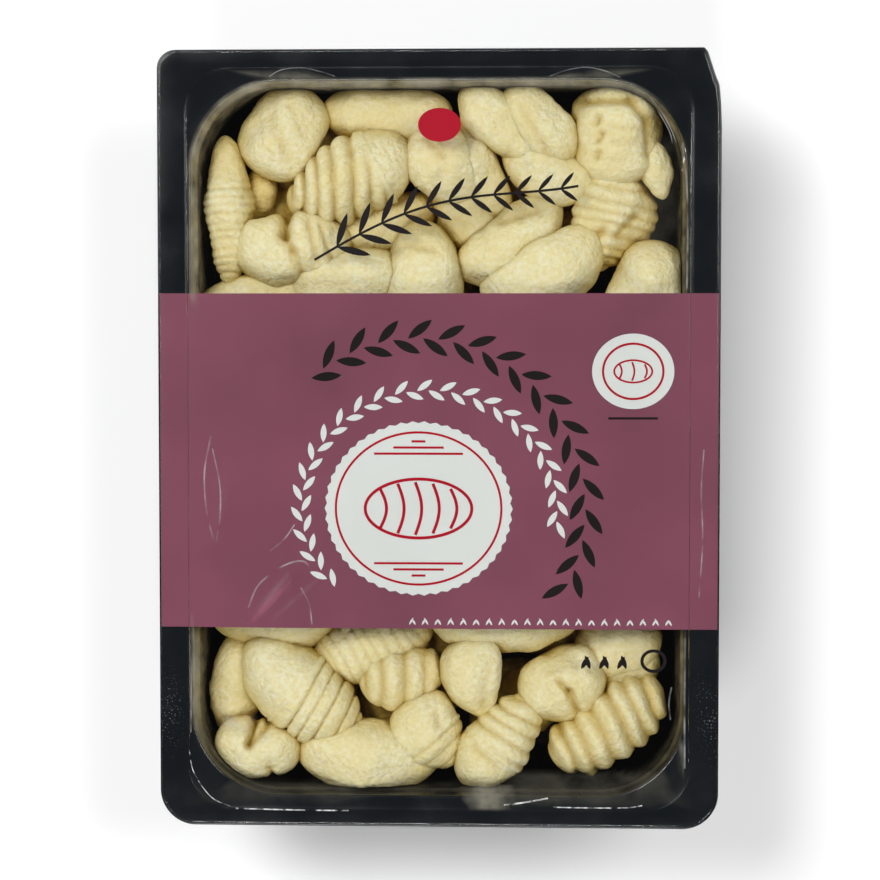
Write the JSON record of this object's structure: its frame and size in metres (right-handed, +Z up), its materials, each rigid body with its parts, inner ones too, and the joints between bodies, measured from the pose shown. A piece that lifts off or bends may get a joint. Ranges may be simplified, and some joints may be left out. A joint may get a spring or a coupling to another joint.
{
  "type": "sealed tray of potato gnocchi",
  "caption": "Sealed tray of ridged potato gnocchi: black formed plastic tray with a flange, a heap of pale gnocchi, and clear lid film with a printed band.",
  "frame": {"origin": "centre of the pack's base, on the surface that it stands on", "axes": "+Z up out of the film, +Y along the tray's long side towards the end with the peel corner, +X across the tray towards the peel corner"},
  "size_m": [0.137, 0.19, 0.0395],
  "materials": {
    "tray_plastic": "glossy black formed sheet, lightly scuffed on the flange",
    "potato_dough": "moist floury pale cream dough, soft satin",
    "lid_film": "clear glossy film with light creases",
    "film_print": "plum print on the film's inner side, white and red badges, glossy"
  },
  "bodies": {
    "root": {"tray": "tray_plastic", "gnocchi": "potato_dough", "lid_film": "lid_film"}
  },
  "joints": []
}
